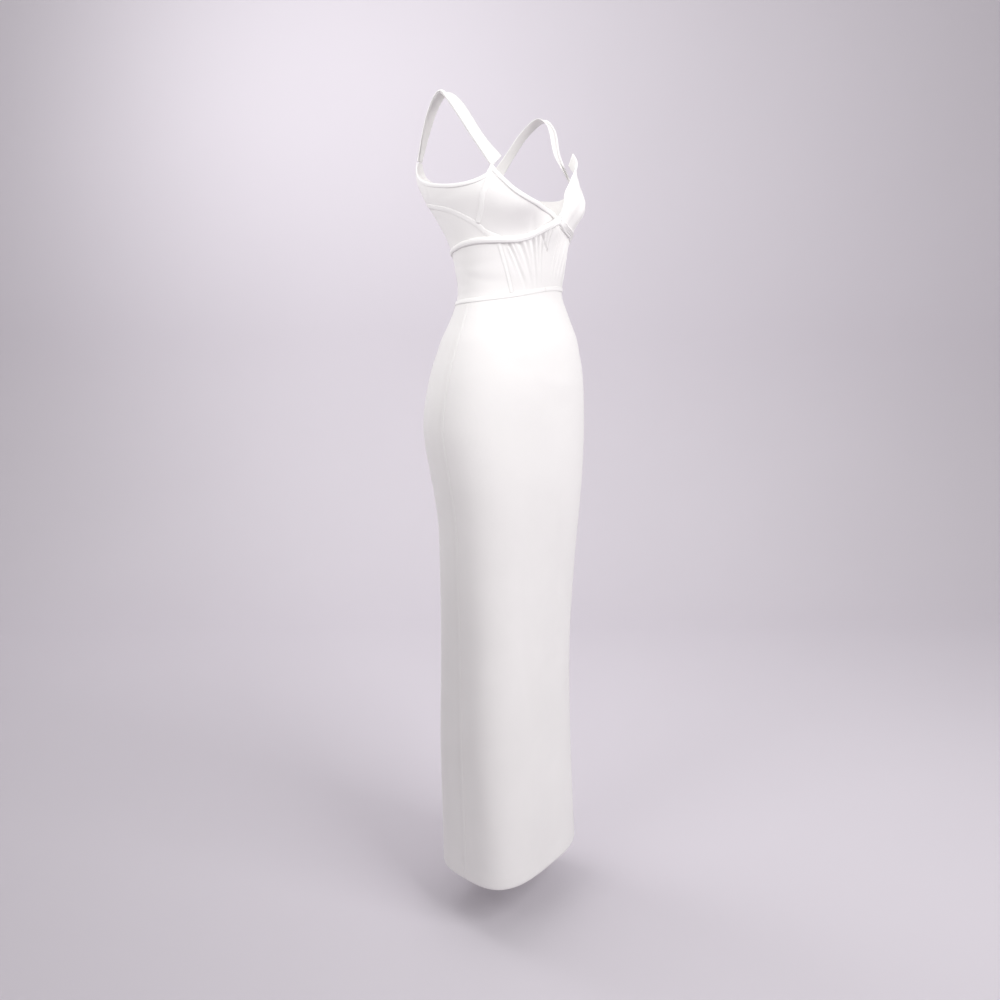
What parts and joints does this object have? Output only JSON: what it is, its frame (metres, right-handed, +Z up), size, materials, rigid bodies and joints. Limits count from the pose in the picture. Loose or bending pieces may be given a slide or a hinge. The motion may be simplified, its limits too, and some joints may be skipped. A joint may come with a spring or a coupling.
{
  "type": "bodycon dress",
  "caption": "Long close-fitting white knit gown with crossed under-cup rolls, a gathered midriff and narrow shoulder straps, hollow as worn.",
  "frame": {"origin": "midway between the tops of the two straps, where the wearer's shoulders hold the gown up", "axes": "+Z up, +X to the wearer's left, the front of the gown faces -Y"},
  "size_m": [0.3286, 0.2615, 1.3398],
  "materials": {
    "knit": "fine heavy double knit, soft sheen",
    "binding": "folded knit binding, soft sheen"
  },
  "bodies": {
    "root": {"cup_right": "knit", "cup_left": "knit", "side_cup_right": "knit", "side_cup_left": "knit", "wedge_right": "knit", "wedge_left": "knit", "midriff_front": "knit", "midriff_side_right": "knit", "midriff_side_left": "knit", "back_right": "knit", "back_left": "knit", "skirt_front": "knit", "skirt_back_right": "knit", "skirt_back_left": "knit", "strap_right": "knit", "strap_left": "knit", "roll_over": "binding", "roll_under": "binding", "strap_cord_right": "binding", "strap_cord_left": "binding", "armhole_binding_right": "binding", "armhole_binding_left": "binding", "back_neck_binding_right": "binding", "back_neck_binding_left": "binding", "cup_tape_right": "binding", "cup_tape_left": "binding", "slant_tape_right": "binding", "slant_tape_left": "binding", "rib_tape_right": "binding", "rib_tape_left": "binding", "waist_tape_right": "binding", "waist_tape_left": "binding"}
  },
  "joints": []
}
